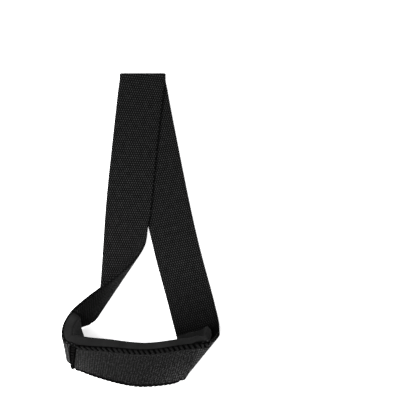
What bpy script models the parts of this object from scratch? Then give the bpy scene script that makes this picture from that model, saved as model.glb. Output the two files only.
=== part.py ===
"""A padded lifting strap, lying on a flat surface with its wrist pad standing on edge.

One endless band of webbing is folded flat at its far end. Its two legs fan out to a padded
stretch that stands on edge as an arc. The left leg rolls over in a slanting fold before the pad,
and the right leg folds under the pad's end. A cover is sewn over the outside of that stretch.

Everything is modelled on one surface, the middle of the webbing, in flat coordinates:
along (round the loop), across (bottom edge to top edge) and inward (towards the wrist).
"""

import bpy
import numpy as np

# Sizes of the loop as it lies, in metres
loop_length = 0.278
loop_spread = 0.130
fold_inner_radius = 0.0009

# Webbing
strap_width = 0.038
webbing_thickness = 0.0024
webbing_edge = 0.0006

# Wrist pad
pad_lip = 0.00175
pad_thickness = 0.0065
pad_start = 0.355
pad_end = 0.621
pad_edge_radius = 0.0018
pad_corner_radius = 0.007
pad_end_radius = 0.0016
lip_fade = 0.006
folded_pad_share = 0.62
folded_pad_gap = 0.0035
folded_pad_inset = 0.0065
inset_share = 0.5
folded_pad_lag = 0.005
loose_gap = 0.0006
squeeze_start = 0.520
squeezed_share = 0.35

# Cover and its edging
cover_thickness = 0.0010
cover_start = 0.404
cover_end = 0.558
edging_thickness = 0.0008
edging_reach = 0.0032
bottom_edging_reach = 0.0012
edging_side = 0.0011
end_bar_width = 0.0030
thread_tail = 0.0030

# Clearance kept between neighbours
clearance = 0.0003

# Mesh fineness
leg_rings = 84
webbing_columns = 8
pad_end_rings = 9
corner_steps = 5
pad_columns = 4
cover_rings = 40
cover_columns = 7
fine_steps = 2400
probe = 0.0006
slant_fade = 0.03

layer_pitch = webbing_thickness + clearance
pad_width = strap_width + 2 * pad_lip

# Straight cross lines of the band, in order round the loop. The columns are: middle of the line
# (x in loop spreads, y in loop lengths), layers of webbing below it, height (strap widths),
# heading and rise of the direction from bottom edge to top edge (degrees), and how far the
# bottom edge runs ahead of the top edge on that line (strap widths).
cross_lines = (
    # left leg, lying on the right leg
    (0.006, 0.440, 1, 0.030, 0, 0, 0.10),
    (-0.036, 0.250, 1, 0.004, -2, 0, 0.00),
    (-0.071, 0.075, 1, -0.012, -3, 2, 0.00),
    # slanting fold that turns the left leg on edge
    (-0.108, -0.128, 0, 0.040, 59, 2, 1.88),
    (-0.122, -0.166, 0, 0.090, 58, 2, 1.80),
    (-0.150, -0.195, 0, 0.200, 57, 3, 1.55),
    (-0.241, -0.249, 0, 0.450, 58, 35, 0.57),
    (-0.342, -0.293, 0, 0.577, 111, 77, -0.15),
    # turn into the pad
    (-0.408, -0.317, 0, 0.600, 161, 82, -0.22),
    (-0.459, -0.371, 0, 0.600, 173, 79, -0.12),
    (-0.467, -0.414, 0, 0.597, 120, 84, -0.06),
    (-0.353, -0.433, 0, 0.591, 90, 79, 0.00),
    # arc of the pad
    (-0.225, -0.445, 0, 0.572, 74, 71, 0.00),
    (0.029, -0.461, 0, 0.545, 66, 60, 0.00),
    (0.209, -0.452, 0, 0.534, 61, 52, -0.10),
    (0.332, -0.440, 0, 0.483, 49, 39, -0.28),
    # fold that takes the strap under the pad's end
    (0.373, -0.431, 0, 0.410, 47, 27, -0.38),
    (0.403, -0.411, 0, 0.275, 49, 14, -0.48),
    (0.398, -0.380, 0, 0.100, 46, 9, -0.50),
    # right leg, on the surface
    (0.336, -0.246, 0, 0.0, 14, 0, 0.00),
    (0.244, -0.075, 0, 0.0, 13, 0, 0.00),
    (0.103, 0.254, 0, 0.0, 9, 0, 0.00),
    (0.031, 0.445, 0, 0.0, 0, 0, 0.10),
)
far_fold = (0.017, 0.4925, 0.13)
far_fold_steps = 6
steepest = 3.0


def fold_lines():
    """Cross lines of the half turn at the far end, from the lower layer up to the upper one."""
    x, y, lead = far_fold
    radius = webbing_thickness / 2 + fold_inner_radius
    turn = np.linspace(0.0, np.pi, far_fold_steps)
    middle = np.column_stack((
        np.full_like(turn, x * loop_spread),
        y * loop_length - radius + radius * np.sin(turn),
        webbing_thickness / 2 + radius * (1 - np.cos(turn)),
    ))
    across = np.tile((np.sqrt(1 + lead ** 2), 0.0, 0.0), (len(turn), 1))
    return np.column_stack((middle, across, np.full_like(turn, lead)))


def table_lines():
    """Cross lines of the table: middle, reach over one metre of width, lead of the bottom edge."""
    rows = np.array(cross_lines, dtype=float)
    height = webbing_thickness / 2 + rows[:, 2] * layer_pitch + rows[:, 3] * strap_width
    heading, rise = np.radians(rows[:, 4]), np.radians(rows[:, 5])
    stretch = np.sqrt(1 + rows[:, 6] ** 2)
    return np.column_stack((
        rows[:, 0] * loop_spread,
        rows[:, 1] * loop_length,
        height,
        stretch * np.cos(rise) * np.cos(heading),
        stretch * np.cos(rise) * np.sin(heading),
        stretch * np.sin(rise),
        rows[:, 6],
    ))


def ends_of(lines):
    """Bottom and top ends of the cross lines."""
    half = strap_width / 2
    return lines[:, :3] - half * lines[:, 3:6], lines[:, :3] + half * lines[:, 3:6]


def smooth_loop(lines, count):
    """Bottom edge, top edge and lead round the loop: a cubic through the cross lines.

    Each tangent is the mean of the two neighbouring slopes, weighted to the nearer one. For the
    heights it is held back to a multiple of the gentler slope, and to zero at a turning value,
    so that flat stretches stay flat.
    """
    bottom, top = ends_of(lines)
    values = np.column_stack((bottom, top, lines[:, 6]))
    held_back = [2, 5]
    steps = [np.linalg.norm(np.roll(p, -1, axis=0) - p, axis=1) for p in (bottom, lines[:, :3], top)]
    gaps = np.mean(steps, axis=0)
    after = (np.roll(values, -1, axis=0) - values) / gaps[:, None]
    before = np.roll(after, 1, axis=0)
    gap_before, gap_after = np.roll(gaps, 1)[:, None], gaps[:, None]
    tangents = (gap_after * before + gap_before * after) / (gap_before + gap_after)
    gentler = np.minimum(np.abs(before), np.abs(after)) * (before * after > 0)
    limit = steepest * gentler[:, held_back]
    tangents[:, held_back] = np.clip(tangents[:, held_back], -limit, limit)
    knots = np.concatenate(([0.0], np.cumsum(gaps)))
    places = np.linspace(0.0, knots[-1], count, endpoint=False)
    cell = np.searchsorted(knots, places, side="right") - 1
    after_cell = (cell + 1) % len(lines)
    h = gaps[cell][:, None]
    t = (places - knots[cell])[:, None] / h
    smooth = (
        (1 + 2 * t) * (1 - t) ** 2 * values[cell]
        + t * (1 - t) ** 2 * h * tangents[cell]
        + t ** 2 * (3 - 2 * t) * values[after_cell]
        + t ** 2 * (t - 1) * h * tangents[after_cell]
    )
    return smooth[:, :3], smooth[:, 3:6], smooth[:, 6]


class Band:
    """The middle surface of the webbing, with flat coordinates along and across it."""

    def __init__(self):
        bottom, top, lead = smooth_loop(np.vstack((table_lines(), fold_lines())), fine_steps)
        middle = (bottom + top) / 2
        step = np.linalg.norm(np.roll(middle, -1, axis=0) - middle, axis=1)
        station = np.concatenate(([0.0], np.cumsum(step)))
        self.length = station[-1]
        reach = np.sqrt(1 + lead ** 2) / np.linalg.norm(top - bottom, axis=1)
        turns = (-1, 0, 1)
        self.station = np.concatenate([station[:-1] + k * self.length for k in turns])
        self.middle = np.tile(middle, (len(turns), 1))
        self.ruling = np.tile((top - bottom) * reach[:, None], (len(turns), 1))
        self.lead = np.tile(lead, len(turns))

    def middle_surface(self, along, across):
        """World points of the middle surface."""
        along, across = np.broadcast_arrays(along, across)
        points = np.empty(along.shape + (3,))
        for value in np.unique(across):
            here = across == value
            place = self.station - value * self.lead
            line = self.middle + value * self.ruling
            for axis in range(3):
                points[..., axis][here] = np.interp(along[here] % self.length, place, line[:, axis])
        return points

    def slanted(self, place, across):
        """Places along for rings that follow the straight cross lines outside the pad."""
        share = place / self.length % 1
        free = np.clip(np.maximum(pad_start - share, share - pad_end) / slant_fade, 0.0, 1.0)
        lead = np.interp(place % self.length, self.station, self.lead)
        return place[:, None] - across[None, :] * (lead * free)[:, None]

    def points(self, along, across, inward):
        """World points at a distance from the middle surface, inward being towards the wrist."""
        along, across, inward = np.broadcast_arrays(along, across, inward)
        forward = self.middle_surface(along + probe, across) - self.middle_surface(along - probe, across)
        upward = self.middle_surface(along, across + probe) - self.middle_surface(along, across - probe)
        normal = np.cross(upward, forward)
        normal /= np.linalg.norm(normal, axis=-1)[..., None]
        return self.middle_surface(along, across) + inward[..., None] * normal

    def stations(self, start, end, count):
        """Places along the band, closer together where it bends."""
        fine = np.linspace(start, end, fine_steps)
        normals = [
            self.points(fine, side * strap_width / 2, probe) - self.points(fine, side * strap_width / 2, 0.0)
            for side in (-1, 0, 1)
        ]
        bend = sum(np.linalg.norm(np.diff(n, axis=0), axis=1) for n in normals)
        weight = np.diff(fine) / self.length + bend / bend.sum() * (end - start) / self.length
        share = np.concatenate(([0.0], np.cumsum(weight))) / weight.sum()
        return np.interp(np.linspace(0.0, 1.0, count), share, fine)


def ring_faces(rings, size, closed):
    """Faces between neighbouring rings, and an end face at each end of an open sweep."""
    faces = []
    for i in range(rings if closed else rings - 1):
        a, b = i * size, (i + 1) % rings * size
        for j in range(size):
            k = (j + 1) % size
            faces.append((a + j, b + j, b + k, a + k))
    if not closed:
        faces.append(tuple(range(size)))
        faces.append(tuple((rings - 1) * size + j for j in range(size))[::-1])
    return faces


def webbing_shape(band):
    """The endless webbing: a thin band with slightly rounded edges."""
    half, thick = strap_width / 2, webbing_thickness / 2
    flat = np.linspace(-(half - webbing_edge), half - webbing_edge, webbing_columns)
    across = np.concatenate((flat, (half,), flat[::-1], (-half,)))
    inward = np.concatenate((np.full_like(flat, -thick), (0.0,), np.full_like(flat, thick), (0.0,)))
    pad = pad_places(band)
    legs = band.stations(pad[-1], pad[0] + band.length, leg_rings)
    along = np.concatenate((pad, legs[1:-1]))
    points = band.points(band.slanted(along, across), across[None, :], inward[None, :])
    return points.reshape(-1, 3), ring_faces(len(along), len(across), True)


def end_rounding(distance, radius):
    """How much an outline draws in near a rounded end, at a distance from that end."""
    inside = np.clip(radius - distance, 0.0, radius)
    return radius - np.sqrt(radius ** 2 - inside ** 2)


def eased(share):
    """A share from 0 to 1 that leaves and arrives gently."""
    return share * share * (3 - 2 * share)


def cover_grid(band):
    """Places along and across the cover, shared with all that is sewn on it."""
    start = cover_start * band.length
    along = band.stations(start, cover_end * band.length, cover_rings)
    bar = start + end_bar_width
    along = np.concatenate((along[:1], (bar, bar + clearance), along[along > bar + cover_thickness]))
    half = pad_width / 2
    across = np.linspace(bottom_edging_reach - half, half - edging_reach, cover_columns)
    return along, np.concatenate(((-half,), across, (half,)))


def pad_places(band):
    """Places along the pad: closer at its rounded corners, and those of the cover between."""
    cover = cover_grid(band)[0]
    start, end = pad_start * band.length, pad_end * band.length
    rounding = pad_corner_radius * (1 - np.cos(np.linspace(0.0, np.pi / 2, corner_steps)))
    left = band.stations(start + pad_corner_radius, cover[0], pad_end_rings)
    right = band.stations(cover[-1], end - pad_corner_radius, pad_end_rings)
    return np.concatenate((start + rounding[:-1], left[:-1], cover, right[1:], (end - rounding[:-1])[::-1]))


def pad_shape(band):
    """The pad: a soft slab on the wrist side, whose long edges wrap the webbing under the cover."""
    start, end = pad_start * band.length, pad_end * band.length
    along = pad_places(band)
    from_end = np.minimum(along - start, end - along)
    half = pad_width / 2 - end_rounding(from_end, pad_corner_radius)
    covered = np.minimum(along - cover_start * band.length, cover_end * band.length - along)
    lip = np.clip(covered / lip_fade, 0.0, 1.0)
    folded = np.clip((along - cover_end * band.length) / (end - cover_end * band.length), 0.0, 1.0)
    thick = pad_thickness * (1 - (1 - folded_pad_share) * folded)
    thick = thick - end_rounding(from_end, pad_end_radius)

    lift = eased(folded) * folded_pad_gap + (1 - lip) * loose_gap
    face = webbing_thickness / 2 + clearance
    seat = face + lift
    lip_end = seat - webbing_edge - lip * (layer_pitch - webbing_edge)
    channel = np.minimum(strap_width / 2 + clearance, half - webbing_edge)
    arc = np.linspace(0.0, np.pi / 2, 3)
    columns = []
    for step in np.linspace(0.0, 1.0, pad_columns, endpoint=False):
        columns.append((step * (half - pad_edge_radius), seat + thick))
    for angle in arc:
        columns.append((
            half - pad_edge_radius + pad_edge_radius * np.sin(angle),
            seat + thick - pad_edge_radius + pad_edge_radius * np.cos(angle),
        ))
    columns.append((half, lip_end))
    columns.append((channel, lip_end))
    for step in np.linspace(1.0, 0.0, pad_columns):
        columns.append((step * channel, seat))
    right = [(across, inward) for across, inward in columns]
    left = [(-across, inward) for across, inward in columns[1:-1]][::-1]
    outline = (right + left)[::-1]
    across = np.column_stack([c[0] for c in outline])
    inward = np.column_stack([c[1] for c in outline])
    squeeze = (along / band.length - squeeze_start) / (cover_end - squeeze_start)
    squeeze = (1 - squeezed_share) * np.clip(squeeze, 0.0, 1.0)[:, None] * (0.5 - across / pad_width)
    inward = np.where(inward > face, face + (inward - face) * (1 - squeeze), inward)
    from_bottom = 0.5 + across / pad_width
    set_in = eased(np.clip(folded / inset_share, 0.0, 1.0))
    across = across - set_in[:, None] * folded_pad_inset * from_bottom
    along = along[:, None] - eased(folded)[:, None] * folded_pad_lag * from_bottom
    points = band.points(along, across, inward)
    return points.reshape(-1, 3), ring_faces(len(along), across.shape[1], False)


def cover_shape(band):
    """The cover: a cloth on the outside of the webbing, as wide as the pad."""
    under = webbing_thickness / 2 + clearance
    along, across = cover_grid(band)
    inward = np.repeat((-under, -under - cover_thickness), len(across))
    across = np.concatenate((across, across[::-1]))
    points = band.points(along[:, None], across[None, ::-1], inward[None, ::-1])
    return points.reshape(-1, 3), ring_faces(len(along), len(across), False)


def edging_shape(band, side, reach):
    """Edging over one long edge of the cover: an angle with a rounded corner, on face and side."""
    half = pad_width / 2
    face = webbing_thickness / 2 + cover_thickness + 2 * clearance
    side_end = edging_side - face
    outline = np.array((
        (half - reach, -face),
        (half + clearance, -face),
        (half + clearance, side_end),
        (half + clearance + edging_thickness, side_end),
        (half + clearance + edging_thickness, -face),
        (half + clearance, -face - edging_thickness),
        (half - reach, -face - edging_thickness),
    ))
    if side < 0:
        outline = outline[::-1] * (-1, 1)
    along = cover_grid(band)[0][2:]
    points = band.points(along[:, None], outline[None, ::-1, 0], outline[None, ::-1, 1])
    return points.reshape(-1, 3), ring_faces(len(along), len(outline), False)


def end_bar_shape(band):
    """A sewn bar across the cover's left end on its outer face, its thread running on below."""
    face = webbing_thickness / 2 + cover_thickness + 2 * clearance
    outline = np.array((
        (0.0, -face),
        (end_bar_width, -face),
        (end_bar_width, -face - edging_thickness / 2),
        (end_bar_width * 2 / 3, -face - edging_thickness),
        (end_bar_width / 3, -face - edging_thickness),
        (0.0, -face - edging_thickness / 2),
    ))
    across = cover_grid(band)[1]
    across = np.concatenate(((across[0] - thread_tail,), across))
    along = cover_start * band.length + outline[:, 0]
    points = band.points(along[None, :], across[:, None], outline[None, :, 1])
    return points.reshape(-1, 3), ring_faces(len(across), len(outline), False)


def material(name, shade, roughness):
    """A plain dark finish."""
    made = bpy.data.materials.new(name)
    made.use_nodes = True
    surface = made.node_tree.nodes["Principled BSDF"]
    surface.inputs["Base Color"].default_value = (shade, shade, shade, 1.0)
    surface.inputs["Roughness"].default_value = roughness
    surface.inputs["Metallic"].default_value = 0.0
    return made


def add_piece(name, points, faces, finish):
    """One closed piece with its own finish, shaded smooth."""
    mesh = bpy.data.meshes.new(name)
    mesh.from_pydata(points.tolist(), [], faces)
    mesh.update()
    mesh.shade_smooth()
    mesh.set_sharp_from_angle(angle=np.radians(40))
    mesh.materials.append(finish)
    bpy.context.scene.collection.objects.link(bpy.data.objects.new(name, mesh))


def build():
    """All pieces, set with the middle of their footprint on the origin."""
    for old in list(bpy.data.objects):
        bpy.data.objects.remove(old, do_unlink=True)
    band = Band()
    half = pad_width / 2
    pieces = {
        "webbing_strap": (webbing_shape(band), (0.018, 0.9)),
        "wrist_pad": (pad_shape(band), (0.020, 0.75)),
        "outer_cover": (cover_shape(band), (0.022, 0.85)),
        "top_edging": (edging_shape(band, 1, edging_reach), (0.012, 0.7)),
        "bottom_edging": (edging_shape(band, -1, bottom_edging_reach), (0.012, 0.7)),
        "left_end_edging": (
            end_bar_shape(band),
            (0.012, 0.7),
        ),
    }
    every = np.vstack([shape[0] for shape, finish in pieces.values()])
    low, high = every.min(axis=0), every.max(axis=0)
    origin = np.array(((low[0] + high[0]) / 2, (low[1] + high[1]) / 2, low[2]))
    for name, ((points, faces), (shade, roughness)) in pieces.items():
        add_piece(name, points - origin, faces, material(name + " finish", shade, roughness))


build()
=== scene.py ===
# %% [markdown]
# # A padded lifting strap
# This scene dresses one solid model: an endless band of black webbing that is folded flat at
# one end and opens round a wrist pad at the other. The solids give the size and the place of
# everything. Here each soft solid is replaced by a finer piece of its own: woven webbing, a
# foam rubber pad, a ribbed cover cloth, and the overlock stitching along its edges.

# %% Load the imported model
import bpy
import numpy as np
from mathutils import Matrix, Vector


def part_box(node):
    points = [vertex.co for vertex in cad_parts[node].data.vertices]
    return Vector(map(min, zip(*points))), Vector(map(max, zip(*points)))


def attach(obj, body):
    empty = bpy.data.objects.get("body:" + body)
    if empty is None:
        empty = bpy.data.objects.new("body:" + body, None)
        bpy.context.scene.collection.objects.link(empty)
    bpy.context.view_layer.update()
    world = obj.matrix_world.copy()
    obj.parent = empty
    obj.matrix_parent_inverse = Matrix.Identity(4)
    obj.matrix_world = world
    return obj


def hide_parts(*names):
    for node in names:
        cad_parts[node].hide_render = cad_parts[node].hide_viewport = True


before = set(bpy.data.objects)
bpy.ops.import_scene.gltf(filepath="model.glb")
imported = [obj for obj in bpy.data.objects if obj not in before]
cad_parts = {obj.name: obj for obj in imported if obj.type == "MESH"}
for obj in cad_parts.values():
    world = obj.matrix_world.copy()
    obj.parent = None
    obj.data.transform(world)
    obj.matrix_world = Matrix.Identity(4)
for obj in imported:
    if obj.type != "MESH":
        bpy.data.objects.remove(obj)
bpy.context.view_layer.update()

# %% [markdown]
# ## The camera
# The strap lies on its side and is seen from 70 degrees above the floor with a long lens, so
# that near and far parts keep almost the same scale. The webbing is 38 mm wide and covers
# 45.5 pixels, which gives 0.835 mm for a pixel. The strap lies left of the middle of the view,
# so the camera looks at a point on the floor beside it.

# %% Camera
pixel = 0.835e-3
frame_width = 416
camera_distance = 12.0
camera_height = np.radians(70)
looked_at = np.array((0.0557, 0.0237, 0.0))

camera_data = bpy.data.cameras.new("long lens")
camera_data.lens = camera_data.sensor_width * camera_distance / (frame_width * pixel)
camera = bpy.data.objects.new("camera", camera_data)
direction = np.array((0.0, -np.cos(camera_height), np.sin(camera_height)))
camera.location = looked_at + camera_distance * direction
camera.rotation_euler = (np.pi / 2 - camera_height, 0.0, 0.0)
bpy.context.scene.collection.objects.link(camera)
bpy.context.scene.camera = camera
print("lens", round(camera_data.lens), "mm at", camera_distance, "m")

# %% [markdown]
# ## The band as one surface
# Everything on this strap follows the webbing, so one surface carries it all: the middle of
# the webbing. A flat band can only bend along straight lines, which is why it is laid out as
# a row of straight cross lines. Each line has a middle, a direction, and a lead that says how
# far its lower end runs ahead: in a slanting fold the line lies far askew. Three flat
# coordinates then place any thread: along the band, across it, and inward to the wrist.

# %% Sizes of the strap, in metres
strap_width = 0.038
webbing_thickness = 0.0024
pad_width = 0.0415
pad_thickness = 0.0065
clearance = 0.0003
loop_length = 0.278
loop_spread = 0.130
layer_pitch = webbing_thickness + clearance
fold_inner_radius = 0.0009
fold_radius = webbing_thickness / 2 + fold_inner_radius

# %% [markdown]
# Between two cross lines the band bends gently, so the flat legs need only a few lines and
# the folds need many. The half turn at the far end is worked out from its radius.

# %% The cross lines of the band
# Columns: middle (x in loop spreads, y in loop lengths), layers below, height (strap widths),
# heading and rise of the direction from bottom edge to top edge (degrees), lead (strap widths).
cross_lines = np.array((
    (0.006, 0.440, 1, 0.030, 0, 0, 0.10),        # left leg, lying on the right leg
    (-0.036, 0.250, 1, 0.004, -2, 0, 0.00),
    (-0.071, 0.075, 1, -0.012, -3, 2, 0.00),
    (-0.108, -0.128, 0, 0.040, 59, 2, 1.88),     # slanting fold
    (-0.122, -0.166, 0, 0.090, 58, 2, 1.80),
    (-0.150, -0.195, 0, 0.200, 57, 3, 1.55),
    (-0.241, -0.249, 0, 0.450, 58, 35, 0.57),
    (-0.342, -0.293, 0, 0.577, 111, 77, -0.15),
    (-0.408, -0.317, 0, 0.600, 161, 82, -0.22),  # turn into the pad
    (-0.459, -0.371, 0, 0.600, 173, 79, -0.12),
    (-0.467, -0.414, 0, 0.597, 120, 84, -0.06),
    (-0.353, -0.433, 0, 0.591, 90, 79, 0.00),
    (-0.225, -0.445, 0, 0.572, 74, 71, 0.00),    # arc of the pad
    (0.029, -0.461, 0, 0.545, 66, 60, 0.00),
    (0.209, -0.452, 0, 0.534, 61, 52, -0.10),
    (0.332, -0.440, 0, 0.483, 49, 39, -0.28),
    (0.373, -0.431, 0, 0.410, 47, 27, -0.38),    # fold under the pad's end
    (0.403, -0.411, 0, 0.275, 49, 14, -0.48),
    (0.398, -0.380, 0, 0.100, 46, 9, -0.50),
    (0.336, -0.246, 0, 0.0, 14, 0, 0.00),        # right leg, on the floor
    (0.244, -0.075, 0, 0.0, 13, 0, 0.00),
    (0.103, 0.254, 0, 0.0, 9, 0, 0.00),
    (0.031, 0.445, 0, 0.0, 0, 0, 0.10),
))


def reach_of(heading, rise, lead):
    """From the middle of the band to its top edge, for half a width of one metre: the line's
    direction, drawn out by the square root of one plus the lead squared."""
    drawn = np.sqrt(1 + lead ** 2)
    return np.column_stack((
        drawn * np.cos(rise) * np.cos(heading),
        drawn * np.cos(rise) * np.sin(heading),
        drawn * np.sin(rise),
    ))


x, y, layers, height, heading, rise, lead = cross_lines.T
lying = np.column_stack((
    x * loop_spread,
    y * loop_length,
    webbing_thickness / 2 + layers * layer_pitch + height * strap_width,
))
reach = reach_of(np.radians(heading), np.radians(rise), lead)

far_x, far_y, far_slant = 0.017, 0.4925, 0.13    # loop spreads, loop lengths, strap widths
turn = np.linspace(0.0, np.pi, 6)                # half turn at the far end, from below to above
far_lead = np.full(turn.shape, far_slant)
far_end = np.column_stack((
    np.full(turn.shape, far_x * loop_spread),
    far_y * loop_length - fold_radius + fold_radius * np.sin(turn),
    webbing_thickness / 2 + fold_radius * (1 - np.cos(turn)),
))
lying = np.vstack((lying, far_end))
reach = np.vstack((reach, reach_of(0.0 * turn, 0.0 * turn, far_lead)))
lead = np.concatenate((lead, far_lead))
print(len(lead), "cross lines")

# %% [markdown]
# ### From lines to a smooth band
# Both edges of the band are carried through the ends of the lines by a cubic curve. At each
# line its slope is the mean of the slopes on either side, weighted to the nearer one. Heights
# are held back so that a part that lies flat stays flat.

# %% Smooth band
fine_steps = 2400
steepest_lead = 2.2      # more than any lead in the table
halvings = 24            # of the search for a cross line, to far below a micron
probe = 0.0006           # metres to either side where a direction is taken


def smooth_loop(values, gaps, held_back):
    """A closed cubic through rows of values: in each gap, the blend of the two end values and
    the two end slopes by the four standard cubic weights. Columns that are held back never
    overshoot: their slope is at most three times the gentler one beside it."""
    after = (np.roll(values, -1, axis=0) - values) / gaps[:, None]
    before = np.roll(after, 1, axis=0)
    gap_before, gap_after = np.roll(gaps, 1)[:, None], gaps[:, None]
    slope = (gap_after * before + gap_before * after) / (gap_before + gap_after)
    limit = 3 * (np.minimum(np.abs(before), np.abs(after)) * (before * after > 0))[:, held_back]
    slope[:, held_back] = np.clip(slope[:, held_back], -limit, limit)
    knots = np.concatenate(([0.0], np.cumsum(gaps)))
    places = np.linspace(0.0, knots[-1], fine_steps, endpoint=False)
    here = np.searchsorted(knots, places, side="right") - 1
    following = (here + 1) % len(values)
    gap = gaps[here][:, None]
    t = (places - knots[here])[:, None] / gap
    return (
        (1 + 2 * t) * (1 - t) ** 2 * values[here] + t * (1 - t) ** 2 * gap * slope[here]
        + t ** 2 * (3 - 2 * t) * values[following] + t ** 2 * (t - 1) * gap * slope[following]
    )


def steps_round(points):
    """Distance from each point to the next one round the loop."""
    return np.linalg.norm(np.roll(points, -1, axis=0) - points, axis=1)


bottom, top = lying - strap_width / 2 * reach, lying + strap_width / 2 * reach
gaps = (steps_round(bottom) + steps_round(lying) + steps_round(top)) / 3
smooth = smooth_loop(np.column_stack((bottom, top, lead)), gaps, [2, 5])
bottom, top, lead = smooth[:, :3], smooth[:, 3:6], smooth[:, 6]
middle = (bottom + top) / 2
step = steps_round(middle)
band_length = step.sum()
drawn = np.sqrt(1 + lead ** 2) / np.linalg.norm(top - bottom, axis=1)
print("length of the endless band:", round(band_length * 1000), "mm")

three_rounds = np.concatenate([np.cumsum(step) - step + k * band_length for k in (-1, 0, 1)])
band_rows = np.tile(np.column_stack((middle, (top - bottom) * drawn[:, None], lead)), (3, 1))


def read_band(place):
    """Middle, reach and lead of the band at any place along its middle line."""
    place = place % band_length
    return [np.interp(place, three_rounds, column) for column in band_rows.T]


def on_band(along, across):
    """World points of the middle surface. The cross line through a point is found by halving:
    its place, less the lead times the distance across, has to equal the distance along."""
    along, across = np.broadcast_arrays(along, across)
    low = along - steepest_lead * strap_width / 2
    high = along + steepest_lead * strap_width / 2
    for _ in range(halvings):
        place = (low + high) / 2
        beyond = place - across * read_band(place)[6] > along
        low, high = np.where(beyond, low, place), np.where(beyond, place, high)
    row = read_band(place)
    return np.stack([row[k] + across * row[k + 3] for k in range(3)], axis=-1)


def place_on_band(along, across, inward):
    """World points at a distance inward from the middle surface. The inward direction is the
    cross product of the direction across and the direction along, both taken over a short
    stretch of the surface."""
    along, across, inward = np.broadcast_arrays(along, across, inward)
    forward = on_band(along + probe, across) - on_band(along - probe, across)
    upward = on_band(along, across + probe) - on_band(along, across - probe)
    normal = np.cross(upward, forward)
    normal /= np.linalg.norm(normal, axis=-1, keepdims=True)
    return on_band(along, across) + inward[..., None] * normal + laid_at

# %% [markdown]
# The solids were set down with the middle of their footprint at the origin. The same shift
# comes from the solid webbing's own box, so the finer pieces lie exactly where the solids do.

# %% Where the band lies
laid_at = np.zeros(3)
outline_of_band = place_on_band(
    np.linspace(0.0, band_length, 3000)[:, None],
    np.array((-0.5, 0.5)) * strap_width,
    np.array((-0.5, 0.5))[:, None, None] * webbing_thickness,
).reshape(-1, 3)
webbing_box = np.array(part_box("webbing_strap"))
laid_at = (webbing_box.mean(axis=0) - (outline_of_band.min(axis=0) + outline_of_band.max(axis=0)) / 2)
laid_at[2] = 0.0
print("shift in mm:", (laid_at * 1000).round(2))

# %% [markdown]
# ## From grids to meshes
# A piece is one or more sweeps: rings of points carried along a path. Every corner keeps its
# flat coordinates across and along as a UV map, in metres, so a weave follows the band
# round every fold and keeps its real scale.

# %% Mesh helper


def sweep(points, flat, closed=False):
    """Faces of a grid of rings: point j of ring i joins point j + 1 and ring i + 1. An open
    sweep gets an end face at both ends. Returns points, faces and flat coordinates per corner."""
    rings, size = points.shape[:2]
    i, j = np.meshgrid(np.arange(rings if closed else rings - 1), np.arange(size), indexing="ij")
    i, j = i.ravel(), j.ravel()
    i1, j1 = (i + 1) % rings, (j + 1) % size
    quads = np.column_stack((i * size + j, i1 * size + j, i1 * size + j1, i * size + j1))
    quad_flat = np.stack((flat[i, j], flat[i + 1, j], flat[i + 1, j + 1], flat[i, j + 1]), axis=1)
    faces, corners = list(map(tuple, quads.tolist())), [quad_flat.reshape(-1, 2)]
    if not closed:
        faces += [tuple(range(size)), tuple(range(rings * size - 1, (rings - 1) * size - 1, -1))]
        corners += [flat[0, :size], flat[rings - 1, :size][::-1]]
    return points.reshape(-1, 3), faces, np.vstack(corners)


def add_piece(name, sweeps, finishes, body="root"):
    """One mesh object from a list of (sweep, finish number), smooth but for sharp corners."""
    points, faces, flat, finish, first = [], [], [], [], 0
    for (p, f, c), number in sweeps:
        points.append(p)
        faces += [tuple(k + first for k in face) for face in f] if first else f
        flat.append(c)
        finish += [number] * len(f)
        first += len(p)
    mesh = bpy.data.meshes.new(name)
    mesh.from_pydata(np.vstack(points), [], faces)
    layer = mesh.uv_layers.new(name="flat")
    layer.data.foreach_set("uv", np.vstack(flat).astype(np.float32).ravel())
    mesh.polygons.foreach_set("material_index", np.array(finish, dtype=np.int32))
    mesh.shade_smooth()
    mesh.set_sharp_from_angle(angle=np.radians(50))
    for material in finishes:
        mesh.materials.append(material)
    piece = bpy.data.objects.new(name, mesh)
    bpy.context.scene.collection.objects.link(piece)
    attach(piece, body)
    print(name, len(mesh.polygons), "faces")
    return piece

# %% [markdown]
# ## Finishes
# All of this strap is black textile, so what tells the pieces apart is weave, fuzz and gloss,
# not colour. One function turns a hex colour into Blender's linear light, and one adds a node
# with its settings and links. The others each build one common thing with it.

# %% Material helpers


def linear(hex_colour):
    """An sRGB hex colour as linear light: each channel through the sRGB curve."""
    channels = np.array([int(hex_colour[k:k + 2], 16) / 255 for k in (1, 3, 5)])
    straight = np.where(channels <= 0.04045, channels / 12.92, ((channels + 0.055) / 1.055) ** 2.4)
    return (*straight.tolist(), 1.0)


def new_material(name):
    """A material with its Principled surface shader and its node tree."""
    made = bpy.data.materials.new(name)
    made.use_nodes = True
    return made, made.node_tree, made.node_tree.nodes["Principled BSDF"]


def add_node(tree, kind, inputs=None, **settings):
    """One node: settings are its properties, and inputs are values or sockets to link from."""
    made = tree.nodes.new(kind)
    for key, value in settings.items():
        setattr(made, key, value)
    for key, value in (inputs or {}).items():
        if isinstance(value, bpy.types.NodeSocket):
            tree.links.new(value, made.inputs[key])
        else:
            made.inputs[key].default_value = value
    return made


def colours(tree, value, *stops):
    """A colour ramp on a value from 0 to 1, with stops of a place and a hex colour."""
    ramp = add_node(tree, "ShaderNodeValToRGB", {0: value})
    while len(ramp.color_ramp.elements) < len(stops):
        ramp.color_ramp.elements.new(0.5)
    for element, (place, hex_colour) in zip(ramp.color_ramp.elements, stops):
        element.position, element.color = place, linear(hex_colour)
    return ramp


def maths(tree, operation, *values):
    """The result of one math node on values or sockets."""
    return add_node(tree, "ShaderNodeMath", dict(enumerate(values)), operation=operation).outputs[0]


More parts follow.
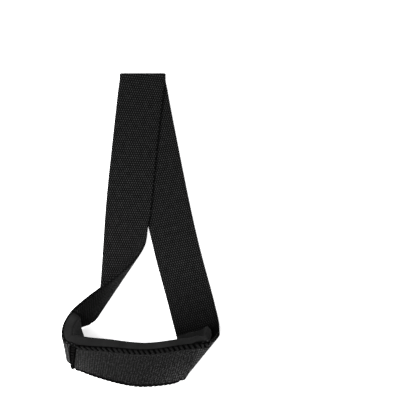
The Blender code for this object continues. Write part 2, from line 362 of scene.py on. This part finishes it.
def wave(tree, value, period):
    """Cosine of a value, with one crest in each period: cos(2 pi value / period)."""
    return maths(tree, "COSINE", maths(tree, "MULTIPLY", value, 2 * np.pi / period))


def scaled(tree, colour, factor):
    """A colour, or another row of three numbers, times one factor."""
    made = add_node(tree, "ShaderNodeVectorMath", {0: colour, "Scale": factor}, operation="SCALE")
    return made.outputs[0]


def dress(tree, shader, colour, relief, depth, strength, surface):
    """Give the surface shader its colour, the bump of a relief, and its other values."""
    bump = add_node(tree, "ShaderNodeBump", {"Height": relief, "Distance": depth, "Strength": strength})
    tree.links.new(colour, shader.inputs["Base Color"])
    tree.links.new(bump.outputs["Normal"], shader.inputs["Normal"])
    for socket, value in surface.items():
        shader.inputs[socket].default_value = value

# %% [markdown]
# ### Woven webbing
# Strap webbing is a heavy plain weave of cotton and polyester: hard-packed warp ends run along
# it, each dipping under every other pick, so the face shows staggered round crowns. The ends
# are 0.96 mm apart and the picks 2.02 mm. The crowns are the product of two cosines, one
# across and one along, which is highest at every second crossing. A third cosine along the
# band sets each row of crowns a little apart from the next. The fuzz of the yarn shows as
# sheen where the band turns edge-on. Light and shade are painted into the colour along the
# band: a painted highlight beside the cover, and painted shade in the tight turns at both ends
# of the pad. At the selvedges the painted light is capped, so the edges stay dark.

# %% Webbing finish
end_spacing = 0.00096
pick_spacing = 0.00202
fuzz_share, patch_share, row_share = 0.5, 0.5, 0.15
# Painted light and shade: a grey from the table below times the top value, and at most the cap at the
# selvedges
painted_light_top, selvedge_cap = 4.0, 0.9
selvedge_from, selvedge_to = 0.0165, 0.0182

# Painted light and shade along the band: the share of its length, and the painted light as a grey, where
# white is the most
painted_light_table = (
    (0.240, "#898989"), (0.275, "#848484"), (0.315, "#5c5c5c"), (0.350, "#484848"),
    (0.386, "#606060"), (0.395, "#b4b4b4"), (0.550, "#e4e4e4"), (0.575, "#d8d8d8"),
    (0.587, "#282828"), (0.612, "#282828"), (0.634, "#585858"), (0.665, "#747474"),
    (0.710, "#898989"),
)


def crowns(tree, across_period, along_period, wander):
    """Height of the weave from 0 to 1: half of one plus cosine across times cosine along, on
    coordinates that wander a little, as hand-fed yarn does. Returns the height, then those
    coordinates together and one by one."""
    uv = add_node(tree, "ShaderNodeUVMap", uv_map="flat").outputs["UV"]
    drift = add_node(tree, "ShaderNodeTexNoise", {"Vector": uv, "Scale": 90.0, "Detail": 2.0})
    drift = add_node(tree, "ShaderNodeVectorMath", {0: drift.outputs["Color"], 1: (-0.5, -0.5, -0.5)},
                     operation="ADD")
    drift = scaled(tree, drift.outputs[0], wander)
    moved = add_node(tree, "ShaderNodeVectorMath", {0: uv, 1: drift}, operation="ADD").outputs[0]
    parts = add_node(tree, "ShaderNodeSeparateXYZ", {0: moved}).outputs
    across_wave = wave(tree, parts["X"], across_period)
    both = maths(tree, "MULTIPLY", across_wave, wave(tree, parts["Y"], along_period))
    return maths(tree, "MULTIPLY_ADD", both, 0.5, 0.5), moved, parts


webbing_finish, tree, shader = new_material("woven cotton webbing, black dyed")
height, flat_place, parts = crowns(tree, 2 * end_spacing, 2 * pick_spacing, wander=0.0007)
fuzz = add_node(tree, "ShaderNodeTexNoise", {"Vector": flat_place, "Scale": 2600.0, "Detail": 3.0})
patch = add_node(tree, "ShaderNodeTexNoise", {"Vector": flat_place, "Scale": 260.0, "Detail": 3.0})
shade = maths(tree, "MULTIPLY_ADD", fuzz.outputs["Fac"], fuzz_share, height)
shade = maths(tree, "MULTIPLY_ADD", patch.outputs["Fac"], patch_share, shade)
shade = maths(tree, "MULTIPLY_ADD", wave(tree, parts["Y"], pick_spacing), row_share, shade)
lit = add_node(tree, "ShaderNodeMapRange", {"Value": shade, "From Min": 0.45, "From Max": 1.9})
ramp = colours(tree, lit.outputs[0], (0.0, "#030303"), (0.45, "#0f0f0f"), (1.0, "#404040"))
# Painted light and shade along the band, capped at the selvedges, scales the colour of the weave
painted_light_factor = colours(tree, maths(tree, "MULTIPLY", parts["Y"], 1 / band_length), *painted_light_table)
painted_light_factor = scaled(tree, painted_light_factor.outputs["Color"], painted_light_top)
selvedge = add_node(tree, "ShaderNodeMapRange", {
    "Value": maths(tree, "ABSOLUTE", parts["X"]), "From Min": selvedge_from, "From Max": selvedge_to,
    "To Min": painted_light_top, "To Max": selvedge_cap})
painted_light_factor = add_node(tree, "ShaderNodeVectorMath", {0: painted_light_factor, 1: selvedge.outputs[0]}, operation="MINIMUM")
painted_shading = add_node(tree, "ShaderNodeVectorMath", {0: ramp.outputs["Color"], 1: painted_light_factor.outputs[0]},
                operation="MULTIPLY")
dress(tree, shader, painted_shading.outputs[0], height, 0.0005, 0.7, {
    "Roughness": 0.8, "Specular IOR Level": 0.01, "Sheen Weight": 0.05, "Sheen Roughness": 0.12})

# %% [markdown]
# ## The webbing
# The band is a closed sweep: its ring is a flat oval whose ends are half circles, and it goes
# once round the loop. On the legs the rings lie along the straight cross lines, so the
# slanting fold stays clean. Each pick pulls the selvedge in a little, by a cosine along the
# band, which gives the edge its fine scallops.

# %% Webbing band
pad_start, pad_end = 0.355 * band_length, 0.621 * band_length
cover_start, cover_end = 0.404 * band_length, 0.558 * band_length
slant_fade = 0.03 * band_length
picks_round = round(band_length / (2 * pick_spacing))
scallop = 0.00016
band_rings, face_columns = 1301, 29

edge_arc = np.linspace(-np.pi / 2, np.pi / 2, 7)[1:-1]
flat_half = (strap_width - webbing_thickness) / 2
face_line = np.linspace(-flat_half, flat_half, face_columns)
ring_across = np.concatenate((
    face_line,
    flat_half + webbing_thickness / 2 * np.cos(edge_arc),
    face_line[::-1],
    -flat_half - webbing_thickness / 2 * np.cos(edge_arc),
))
ring_inward = webbing_thickness / 2 * np.concatenate((
    np.full(face_line.shape, -1.0), np.sin(edge_arc), np.full(face_line.shape, 1.0), -np.sin(edge_arc),
))
place = np.linspace(0.0, band_length, band_rings)[:, None]
outside_pad = np.clip(np.maximum(pad_start - place, place - pad_end) / slant_fade, 0.0, 1.0)
along = place - ring_across * read_band(place)[6] * outside_pad
edge_pull = scallop * np.cos(2 * np.pi * along / band_length * picks_round * 2)
wide = ring_across + np.sign(ring_across) * edge_pull * (np.abs(ring_across) > flat_half)
webbing_points = place_on_band(along[:-1], wide[:-1], ring_inward)
woven_along = along * (2 * pick_spacing * picks_round / band_length)
ring_flat = np.append(ring_across, ring_across[0])
flat = np.stack(np.broadcast_arrays(ring_flat, np.column_stack((woven_along, woven_along[:, :1]))), axis=-1)
webbing = add_piece("woven_webbing", [(sweep(webbing_points, flat, closed=True), 0)], [webbing_finish])
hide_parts("webbing_strap")

# %% [markdown]
# ### Foam rubber faced with jersey
# The pad is a slab of foam rubber, the stuff of wetsuits, with a fine jersey bonded to it. It
# looks even and soft: no gloss and a faint grain. Light and shade are painted on it: the rim is
# painted paler and the inner face darker. The rim is found by the cosine of the way round the
# slab, which is one in the middle of the inner face and near nought at the rim.

# %% Pad finish
pad_girth = 2 * (pad_width + pad_thickness + layer_pitch)
pad_finish, tree, shader = new_material("foam rubber faced with black jersey")
uv = add_node(tree, "ShaderNodeUVMap", uv_map="flat").outputs["UV"]
grain = add_node(tree, "ShaderNodeTexNoise", {"Vector": uv, "Scale": 1500.0, "Detail": 4.0}).outputs["Fac"]
bloom = add_node(tree, "ShaderNodeTexNoise", {"Vector": uv, "Scale": 70.0, "Detail": 2.0}).outputs["Fac"]
shade = maths(tree, "MULTIPLY_ADD", grain, 0.5, bloom)
ramp = colours(tree, shade, (0.45, "#0f0f0f"), (0.98, "#1b1b1b"))
parts = add_node(tree, "ShaderNodeSeparateXYZ", {0: uv}).outputs
# Painted light and shade: the rim is painted paler and the middle of the inner face darker
rim = add_node(tree, "ShaderNodeMapRange", {
    "Value": wave(tree, parts["X"], pad_girth),
    "From Min": 0.45, "From Max": 0.15, "To Min": 0.62, "To Max": 1.1})
dress(tree, shader, scaled(tree, ramp.outputs["Color"], rim.outputs[0]), grain, 0.0002, 0.5, {
    "Roughness": 0.85, "Specular IOR Level": 0.05, "Sheen Weight": 0.04, "Sheen Roughness": 0.25})

# %% [markdown]
# ## The wrist pad
# The slab lies on the wrist side of the webbing and its long edges are drawn over the
# webbing's edges, under the cover. Its two ends stick out past the cover with rounded corners.
# The right end is folded in with the webbing: there it is squeezed thinner on the inside of
# the fold and springs off the webbing at its free corner.

# %% Pad slab
pad_corner, pad_end_radius, edge_radius = 0.007, 0.0016, 0.0022
lip_fade, loose_gap, folded_gap, folded_share = 0.006, 0.0006, 0.0035, 0.62
squeeze_start, squeezed_share, folded_inset, folded_lag = 0.520 * band_length, 0.35, 0.0065, 0.005
thinnest, inset_share, full_ring = 0.0006, 0.5, 40


def drawn_in(distance, radius):
    """How far an outline is drawn in near a rounded end: radius less the circle's height."""
    inside = np.clip(radius - distance, 0.0, radius)
    return radius - np.sqrt(radius ** 2 - inside ** 2)


def ease(share):
    """From 0 to 1 with level ends: three times the square less twice the cube."""
    return share ** 2 * (3 - 2 * share)


rounding = pad_corner * (1 - np.cos(np.linspace(0.0, np.pi / 2, 18)))[1:]
along = np.concatenate((
    pad_start + rounding, np.linspace(pad_start + pad_corner, pad_end - pad_corner, 260)[1:-1],
    (pad_end - rounding)[::-1],
))[:, None]
from_end = np.minimum(along - pad_start, pad_end - along)
half = pad_width / 2 - drawn_in(from_end, pad_corner)
lip = np.clip(np.minimum(along - cover_start, cover_end - along) / lip_fade, 0.0, 1.0)
folded = np.clip((along - cover_end) / (pad_end - cover_end), 0.0, 1.0)
thick = pad_thickness * (1 - (1 - folded_share) * folded) - drawn_in(from_end, pad_end_radius)
base = webbing_thickness / 2 + clearance
seat = base + ease(folded) * folded_gap + (1 - lip) * loose_gap
lip_end = seat - thinnest - lip * (layer_pitch - thinnest)
channel = np.minimum(strap_width / 2 + clearance, half - thinnest)

face_steps, arc = np.linspace(0.0, 1.0, 13)[:-1], np.linspace(0.0, np.pi / 2, 7)
half_across = np.hstack((
    (half - edge_radius) * face_steps,
    half - edge_radius + edge_radius * np.sin(arc),
    half, channel, channel * np.linspace(1.0, 0.0, 5)[None, :],
))
half_inward = np.hstack((
    (seat + thick) * np.ones_like(face_steps),
    seat + thick - edge_radius + edge_radius * np.cos(arc),
    lip_end, lip_end, seat * np.ones(5),
))
pad_across = np.hstack((half_across, -half_across[:, -2:0:-1]))[:, ::-1]
pad_inward = np.hstack((half_inward, half_inward[:, -2:0:-1]))[:, ::-1]
squeeze = np.clip((along - squeeze_start) / (cover_end - squeeze_start), 0.0, 1.0)
squeeze = (1 - squeezed_share) * squeeze * (0.5 - pad_across / pad_width)
pad_inward = np.where(pad_inward > base, base + (pad_inward - base) * (1 - squeeze), pad_inward)
set_in = np.clip(folded / inset_share, 0.0, 1.0)
from_bottom = 0.5 + pad_across / pad_width
pad_across = pad_across - ease(set_in) * folded_inset * from_bottom
pad_along = along - ease(folded) * folded_lag * from_bottom
pad_points = place_on_band(pad_along, pad_across, pad_inward)
ring = np.stack((pad_across[full_ring], pad_inward[full_ring]))
round_ring = np.append(0.0, np.cumsum(np.linalg.norm(np.diff(ring, axis=1, append=ring[:, :1]), axis=0)))
print("girth of the pad:", round(round_ring[-1] * 1000, 1), "mm, taken as", round(pad_girth * 1000, 1))
flat = np.stack(np.broadcast_arrays(round_ring, along), axis=-1)
flat = np.concatenate((flat, flat[-1:]))
pad = add_piece("foam_wrist_pad", [(sweep(pad_points, flat), 0)], [pad_finish])
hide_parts("wrist_pad")

# %% [markdown]
# ### Ribbed cover cloth
# The cover is a firm jersey with fine ribs that run across the strap, one every 2 mm, each a
# row of small loops. It is a little paler and more matt than the webbing. Towards its two ends,
# most of all along the lower edge, it is painted paler still: a painted highlight.

# %% Cover finish
rib_spacing = 0.0020
loop_spacing = 0.0018
rib_share, fuzz_share = 0.3, 3.6
# The place along the cover where the painted highlight is least
least_highlight_place = 0.56 * cover_start + 0.44 * cover_end
cover_finish, tree, shader = new_material("ribbed jersey, black dyed")
height, flat_place, parts = crowns(tree, loop_spacing, rib_spacing, wander=0.0010)
height = maths(tree, "MULTIPLY_ADD", wave(tree, parts["Y"], rib_spacing), rib_share, height)
fuzz = add_node(tree, "ShaderNodeTexNoise", {"Vector": flat_place, "Scale": 620.0, "Detail": 3.0})
shade = maths(tree, "MULTIPLY_ADD", fuzz.outputs["Fac"], fuzz_share, height)
lit = add_node(tree, "ShaderNodeMapRange", {"Value": shade, "From Min": 1.5, "From Max": 3.1})
ramp = colours(tree, lit.outputs[0], (0.0, "#010101"), (0.5, "#060606"), (1.0, "#262626"))
# Painted highlight: paler towards the lower edge and towards both ends of the cover
to_edge = add_node(tree, "ShaderNodeMapRange",
                   {"Value": parts["X"], "From Min": 0.002, "From Max": -pad_width / 2})
from_middle = maths(tree, "ABSOLUTE", maths(tree, "SUBTRACT", parts["Y"], least_highlight_place))
to_ends = add_node(tree, "ShaderNodeMapRange", {"Value": from_middle, "From Min": 0.020, "From Max": 0.050})
painted_shading = maths(tree, "MULTIPLY_ADD", to_edge.outputs[0], 0.75, 0.25)
painted_shading = maths(tree, "MULTIPLY", painted_shading, to_ends.outputs[0])
paler = maths(tree, "MULTIPLY_ADD", painted_shading, 2.4, 0.9)
dress(tree, shader, scaled(tree, ramp.outputs["Color"], paler), height, 0.0003, 0.6, {
    "Roughness": 0.85, "Specular IOR Level": 0.05, "Sheen Weight": 0.05, "Sheen Roughness": 0.15})

# %% [markdown]
# ## The cover
# One rectangle of cloth is sewn over the outside of the webbing, as wide as the pad. It
# swells a little between its sewn edges, highest in the middle by a cosine.

# %% Cover cloth
cover_thickness = 0.0010
crown = 0.00025
cover_face = webbing_thickness / 2 + clearance + cover_thickness
half = pad_width / 2
sheet_line = np.linspace(-half, half, 45)
cover_along = np.linspace(cover_start, cover_end, 220)[:, None]
swell = crown * np.cos(np.pi / 2 * sheet_line / half)
ring_across = np.concatenate((sheet_line, sheet_line[::-1]))[::-1]
ring_inward = np.concatenate((
    np.full(sheet_line.shape, cover_thickness - cover_face), -cover_face - swell[::-1]))[::-1]
flat = np.stack(np.broadcast_arrays(np.append(ring_across, ring_across[0]), cover_along), axis=-1)
flat = np.concatenate((flat, flat[-1:]))
cover = add_piece(
    "ribbed_cover",
    [(sweep(place_on_band(cover_along, ring_across, ring_inward), flat), 0)],
    [cover_finish],
)
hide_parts("outer_cover")

# %% [markdown]
# ### Overlock thread
# The edges are oversewn with spun polyester, two plies twisted together. Close up each thread
# shows slanting stripes of its plies, and it is a shade glossier than the cloth.

# %% Thread finish
ply_spacing, ply_slope = 0.0009, 1.6


def thread(name, groove, crest):
    """Thread of two plies: stripes at a slant to its length, from a dark groove to a crest."""
    made, tree, shader = new_material(name)
    uv = add_node(tree, "ShaderNodeUVMap", uv_map="flat").outputs["UV"]
    parts = add_node(tree, "ShaderNodeSeparateXYZ", {0: uv}).outputs
    plies = wave(tree, maths(tree, "MULTIPLY_ADD", parts["Y"], ply_slope, parts["X"]), ply_spacing)
    ramp = colours(tree, plies, (0.0, groove), (1.0, crest))
    dress(tree, shader, ramp.outputs["Color"], plies, 0.0001, 0.6, {
        "Roughness": 0.6, "Specular IOR Level": 0.02, "Sheen Weight": 0.02})
    return made


thread_finish = thread("spun polyester thread, black", "#050505", "#0e0e0e")
rubbed_finish = thread("spun polyester thread, rubbed grey", "#0c0c0c", "#1c1c1c")

# Near black, so that the roll also paints the shade in the gaps between the stitches
roll_finish, tree, shader = new_material("raw cloth edge and painted shade, black")
uv = add_node(tree, "ShaderNodeUVMap", uv_map="flat").outputs["UV"]
fuzz = add_node(tree, "ShaderNodeTexNoise", {"Vector": uv, "Scale": 1500.0, "Detail": 4.0}).outputs["Fac"]
ramp = colours(tree, fuzz, (0.3, "#000000"), (0.8, "#070707"))
dress(tree, shader, ramp.outputs["Color"], fuzz, 0.0003, 0.7, {
    "Roughness": 0.95, "Specular IOR Level": 0.0})

# %% [markdown]
# ## Overlocked edges
# An overlock machine runs thread from a line of needle holes in the face, slanting, over the
# raw edge and round to the other side. Each stitch here is a tube along its own path, and a
# thin dark roll under the stitches stands for the raw edge of the cloth that they bind. The
# roll is near black, which also paints the shade in the gaps between the stitches.

# %% Tubes along many paths


def threads(paths, radius, outward, sides=7):
    """Many tubes as one sweep each: at every point of a path, a circle about it in the plane of
    two directions square to the path. The first is the given outward direction made square.
    The thread thins to its ends, so that it seems to sink into the cloth."""
    tangent = np.gradient(paths, axis=1)
    tangent /= np.linalg.norm(tangent, axis=-1, keepdims=True)
    first = outward - (outward * tangent).sum(axis=-1, keepdims=True) * tangent
    first /= np.linalg.norm(first, axis=-1, keepdims=True)
    second = np.cross(tangent, first)
    turn = np.linspace(0.0, 2 * np.pi, sides, endpoint=False)[:, None]
    share = np.linspace(0.0, 1.0, paths.shape[1])
    thin = np.sqrt(np.clip(1 - np.abs(2 * share - 1) ** 6, 0.09, 1.0))[None, :, None, None]
    circle = np.cos(turn) * first[:, :, None] + np.sin(turn) * second[:, :, None]
    points = paths[:, :, None] + radius * thin * circle
    travelled = np.cumsum(np.linalg.norm(np.diff(paths, axis=1, prepend=paths[:, :1]), axis=-1), axis=1)
    round_it = np.append(turn.ravel(), 2 * np.pi) * radius
    made = []
    for tube, length in zip(points, travelled):
        flat = np.stack(np.broadcast_arrays(round_it, length[:, None]), axis=-1)
        made.append((sweep(tube, np.concatenate((flat, flat[-1:]))), 0))
    return made


def band_threads(along, across, inward, radius):
    """Tubes on paths in flat coordinates: outward is the direction away from the wrist."""
    paths = place_on_band(along, across, inward)
    outward = place_on_band(along, across, inward - 0.001) - paths
    return threads(paths, radius, outward)


def rounded_path(corners, steps):
    """Points evenly spaced along a broken line in flat coordinates, then smoothed by the mean
    of each point and its two neighbours, three times, with the ends kept."""
    corners = np.asarray(corners, dtype=float)
    run = np.concatenate(([0.0], np.cumsum(np.linalg.norm(np.diff(corners, axis=0), axis=1))))
    at = np.linspace(0.0, run[-1], steps)
    line = np.column_stack([np.interp(at, run, column) for column in corners.T])
    for _ in range(3):
        line[1:-1] = (line[:-2] + line[1:-1] + line[2:]) / 3
    return line

# %% [markdown]
# The stitches are 4.1 mm apart and each is laid twice, side by side. Along the top the needle
# line is 5 mm in from the edge, and the thread leans over the face as it goes down. A chain of
# plump loops, rubbed paler, runs along the needle line. The top row runs on past the cover.

# %% Overlocked long edges
stitch_pitch = 0.0041
edging_thickness = 0.0008
edging_side = 0.0011
thread_radius = 0.00052
next_to = 2.1 * thread_radius
edge_start = cover_start + 0.0033
taper_length, taper_depth = 0.012, 0.0009
step_length = 0.005
stitch_unevenness = 0.00018
roll_flat_step = 0.001
rng = np.random.default_rng(7)


def run_on(along):
    """Past the cover's end the edging steps down to the webbing: from 0 to 1."""
    return ease(np.clip((along - cover_end) / step_length, 0.0, 1.0))


def kept_near(last, along):
    """How much of its width the edging keeps near its last stitch: the root of the way left."""
    return np.clip((last - along) / taper_length, 0.0, 1.0) ** 0.5


def overlock(side, name, node, reach, last, chain_radius, chain_finish):
    """One overlocked edge. The long stitch goes from the side over the corner and slants down
    the face; the chain runs along the needle line from one stitch to the next."""
    face = -cover_face - clearance
    surface = face - edging_thickness + thread_radius
    out = half + clearance + edging_thickness - thread_radius
    line = half - reach
    roll_line = np.array((
        (line, face), (half + clearance, face), (half + clearance, face + edging_side - 0.0002),
        (half + clearance + 0.0003, face + edging_side - 0.0002), (half + clearance + 0.0003, face),
        (half + clearance, face - 0.0002), (line, face - 0.0001),
    ))
    if side < 0:
        roll_line = roll_line[::-1] * (-1, 1)
    along = np.linspace(edge_start, last, 180)[:, None]
    beyond = np.maximum(np.abs(roll_line[None, :, 0]) - half, 0.0) * np.sign(roll_line[None, :, 0])
    roll_across = roll_line[None, :, 0] - beyond * (1 - kept_near(last, along))
    step_down = run_on(along)
    roll_across = roll_across - side * step_down * (half - strap_width / 2)
    roll = place_on_band(along, roll_across[:, ::-1], roll_line[None, ::-1, 1] + step_down * cover_thickness)
    flat = np.stack(np.broadcast_arrays(np.arange(len(roll_line) + 1) * roll_flat_step, along), axis=-1)
    flat = np.concatenate((flat, flat[-1:]))
    starts = edge_start + stitch_pitch * np.arange(int((last - edge_start) / stitch_pitch))[:, None]
    starts = starts + stitch_unevenness * rng.standard_normal(starts.shape)
    drawn_back = taper_depth * (1 - kept_near(last, starts))
    long_one = rounded_path((
        (0.0, out - 0.0002, face + edging_side - 0.0004), (0.0, out, surface + 0.0004),
        (0.08 * stitch_pitch, out - 0.0004, surface), (0.74 * stitch_pitch, line + 0.25 * reach, surface),
        (0.86 * stitch_pitch, line + 0.1 * reach, surface + 0.0004),
    ), 18)
    chain = rounded_path((
        (0.45 * stitch_pitch, line + 0.0002, surface + 0.0006),
        (0.60 * stitch_pitch, line, surface + 0.0001),
        (1.20 * stitch_pitch, line - 0.0002, surface + 0.0001),
        (1.35 * stitch_pitch, line + 0.0001, surface + 0.0006),
    ), 10)
    pieces = [(sweep(roll, flat), 1)]
    for path, radius, shift, finish in (
        (long_one, thread_radius, 0.0, 0),
        (long_one, thread_radius, next_to, 0),
        (chain, chain_radius, 0.0, chain_finish),
    ):
        places = starts + shift + path[:, 0]
        step_down = run_on(places)
        across = path[:, 1] - drawn_back - step_down * (half - strap_width / 2)
        made = band_threads(places, side * across, path[:, 2] + step_down * cover_thickness, radius)
        pieces += [(piece, finish) for piece, _ in made]
    made = add_piece(name, pieces, [thread_finish, roll_finish, rubbed_finish])
    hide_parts(node)
    return made


overlock(1, "top_overlock", "top_edging", reach=0.0050, last=cover_end + 0.009,
         chain_radius=0.0008, chain_finish=2)
overlock(-1, "bottom_overlock", "bottom_edging", reach=0.0012, last=cover_end - 0.003,
         chain_radius=0.0004, chain_finish=1)

# %% [markdown]
# ## The sewn end bar
# The cover's left end is closed by a dense bar of zigzag stitches across the strap, dark and
# lumpy, and its thread runs on below as two short tails. The bar is built up from many short
# loops of thread side by side over a dark roll, with a dark rail on three sides. The roll and
# the rails are near black, and the roll paints the shade in the gaps between the loops.

# %% End bar
bar_thread, rail_thread, tail_thread = 0.00034, 0.00055, 0.0004
bar_loops, bar_unevenness = 17, 0.00040
bar_shift, bar_lean = 0.0012, 0.0004
bar_foot, bar_flare = 0.0020, 0.0030
rail_lump, rail_wavelength = 0.00015, 0.0016
bar_face = -cover_face - clearance


def bar_side(across, share):
    """Place along the band of a line in the bar: share 0 is its left side and 1 its right. The
    bar is 5 mm wide at the top and narrows evenly to 2 mm at the bottom."""
    upward = across / pad_width + 0.5
    return cover_start - bar_shift + bar_lean * upward + share * (bar_foot + bar_flare * upward)


across_places = np.linspace(-half + 0.0010, half - 0.0008, bar_loops)[:, None]
jitter = bar_unevenness * rng.standard_normal((bar_loops, 2))
zigzag = rounded_path((
    (0.10, 0.0, bar_face + 0.0002), (0.14, 0.0, bar_face - 0.0004), (0.50, 0.0005, bar_face - 0.0006),
    (0.86, 0.0010, bar_face - 0.0004), (0.90, 0.0010, bar_face + 0.0002),
), 12)
loop_across = across_places + zigzag[:, 1] + jitter[:, 1:]
lines = band_threads(bar_side(loop_across, zigzag[:, 0]) + 0.5 * jitter[:, :1], loop_across,
                     zigzag[:, 2] - 0.3 * np.abs(jitter[:, :1]), bar_thread)
rail_across = np.linspace(-half + 0.0003, half - 0.0003, 60)
rail_wave = rail_lump * np.sin(rail_across / rail_wavelength * 2 * np.pi)
top_shares = np.linspace(0.0, 1.0, 12)
top_rail = np.full(top_shares.shape, half - 0.0006)
rail_lines = [(bar_side(rail_across, share) + rail_wave, rail_across) for share in (0.06, 0.94)]
rail_lines.append((bar_side(top_rail, top_shares), top_rail))
rails = [
    (piece, 1) for along, across in rail_lines
    for piece, _ in band_threads(along[None, :], across[None, :], bar_face - 0.0005, rail_thread)
]
tail_path = rounded_path((
    (0.0, -half + 0.001, bar_face - 0.0003), (0.0, -half - 0.0006, bar_face - 0.0002),
    (0.0005, -half - 0.0014, bar_face + 0.0002), (0.0003, -half - 0.0020, bar_face + 0.0001),
), 16)
tail_start = bar_side(-half, 0.5)
tails = [
    band_threads(tail_start + shift + tail_path[None, :, 0], tail_path[None, :, 1], tail_path[None, :, 2],
                 tail_thread)
    for shift in (-0.0005, 0.0005)
]
bar_across = np.linspace(-half, half, 60)[:, None]
bar_shares = np.array((0.0, 0.5, 1.0, 1.0, 0.5, 0.0))
bar_depth = np.array((bar_face, bar_face, bar_face, bar_face - 0.0004, bar_face - 0.0004, bar_face - 0.0004))
bar_roll = place_on_band(bar_side(bar_across, bar_shares), bar_across, bar_depth)
flat = np.stack(np.broadcast_arrays(np.arange(len(bar_shares) + 1) * roll_flat_step, bar_across), axis=-1)
flat = np.concatenate((flat, flat[-1:]))
bar = add_piece(
    "end_bar",
    [(sweep(bar_roll, flat), 1)] + lines + rails + sum(tails, []),
    [thread_finish, roll_finish],
)
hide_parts("left_end_edging")

# %% [markdown]
# ## Floor and light
# The strap lies on a plain white table that glows faintly, as a light table does. With one wide
# panel overhead at the left and an even sky it leaves almost no shadow on the table, and the
# black cloth keeps its depth.

# %% Floor
floor_mesh = bpy.data.meshes.new("floor")
floor_half = 3.0
floor_corners = [(floor_half * i, floor_half * j, 0.0) for i, j in ((-1, -1), (1, -1), (1, 1), (-1, 1))]
floor_mesh.from_pydata(floor_corners, [], [(0, 1, 2, 3)])
floor = bpy.data.objects.new("floor", floor_mesh)
bpy.context.scene.collection.objects.link(floor)
floor_finish, tree, shader = new_material("white acrylic, matt, lit from below")
shader.inputs["Base Color"].default_value = linear("#f7f7f7")
shader.inputs["Emission Color"].default_value = linear("#ffffff")
shader.inputs["Emission Strength"].default_value = 0.6
shader.inputs["Roughness"].default_value = 0.9
shader.inputs["Specular IOR Level"].default_value = 0.2
floor_mesh.materials.append(floor_finish)

# %% [markdown]
# The panel is wide and far off, so its light is soft. It is turned to face the strap by the
# two angles of the line from the panel to the middle of the floor.

# %% Light
panel_data = bpy.data.lights.new("overhead panel", "AREA")
panel_data.shape = "RECTANGLE"
panel_data.size, panel_data.size_y = 1.6, 1.6
panel_data.energy = 200.0
panel = bpy.data.objects.new("overhead panel", panel_data)
panel.location = (-0.8, -0.8, 1.5)
aim = -np.array(panel.location)
panel.rotation_euler = (np.arctan2(np.hypot(aim[0], aim[1]), -aim[2]), 0.0, np.arctan2(aim[0], -aim[1]))
bpy.context.scene.collection.objects.link(panel)

world = bpy.data.worlds.new("even sky")
world.use_nodes = True
world.node_tree.nodes["Background"].inputs["Color"].default_value = (1.0, 1.0, 1.0, 1.0)
world.node_tree.nodes["Background"].inputs["Strength"].default_value = 0.4
bpy.context.scene.world = world
bpy.context.scene.view_settings.view_transform = "Standard"
